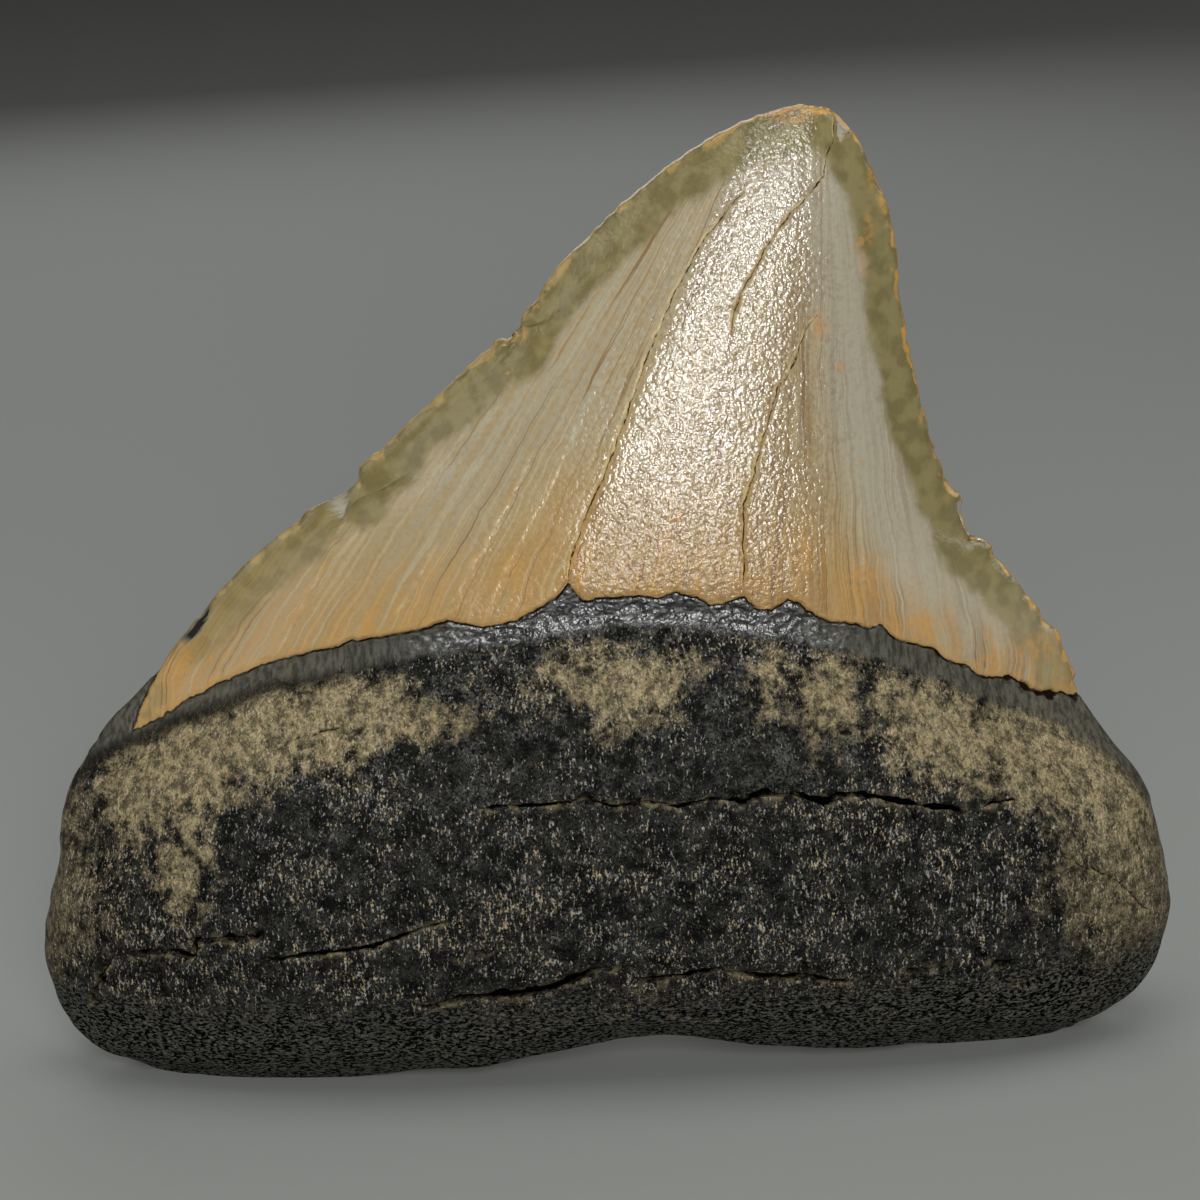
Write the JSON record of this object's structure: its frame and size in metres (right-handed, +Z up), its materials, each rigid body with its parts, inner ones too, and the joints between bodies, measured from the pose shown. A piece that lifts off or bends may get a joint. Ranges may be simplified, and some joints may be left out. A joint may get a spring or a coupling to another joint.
{
  "type": "fossil megalodon tooth",
  "caption": "Fossil shark tooth with a broad leaning triangular crown over a massive cracked root, standing on its root lobes.",
  "frame": {"origin": "middle of the tooth's box, on the plane that its root lobes stand on", "axes": "+X along the width of the root towards the steep side of the crown, +Y from the swollen face to the flat face, +Z up to the tip"},
  "size_m": [0.0992, 0.0222, 0.0819],
  "materials": {
    "fossil_tooth": "satin olive and tan streaked enamel with amber edges on the crown, matte black and tan porous root"
  },
  "bodies": {
    "root": {"tooth": "fossil_tooth"}
  },
  "joints": []
}
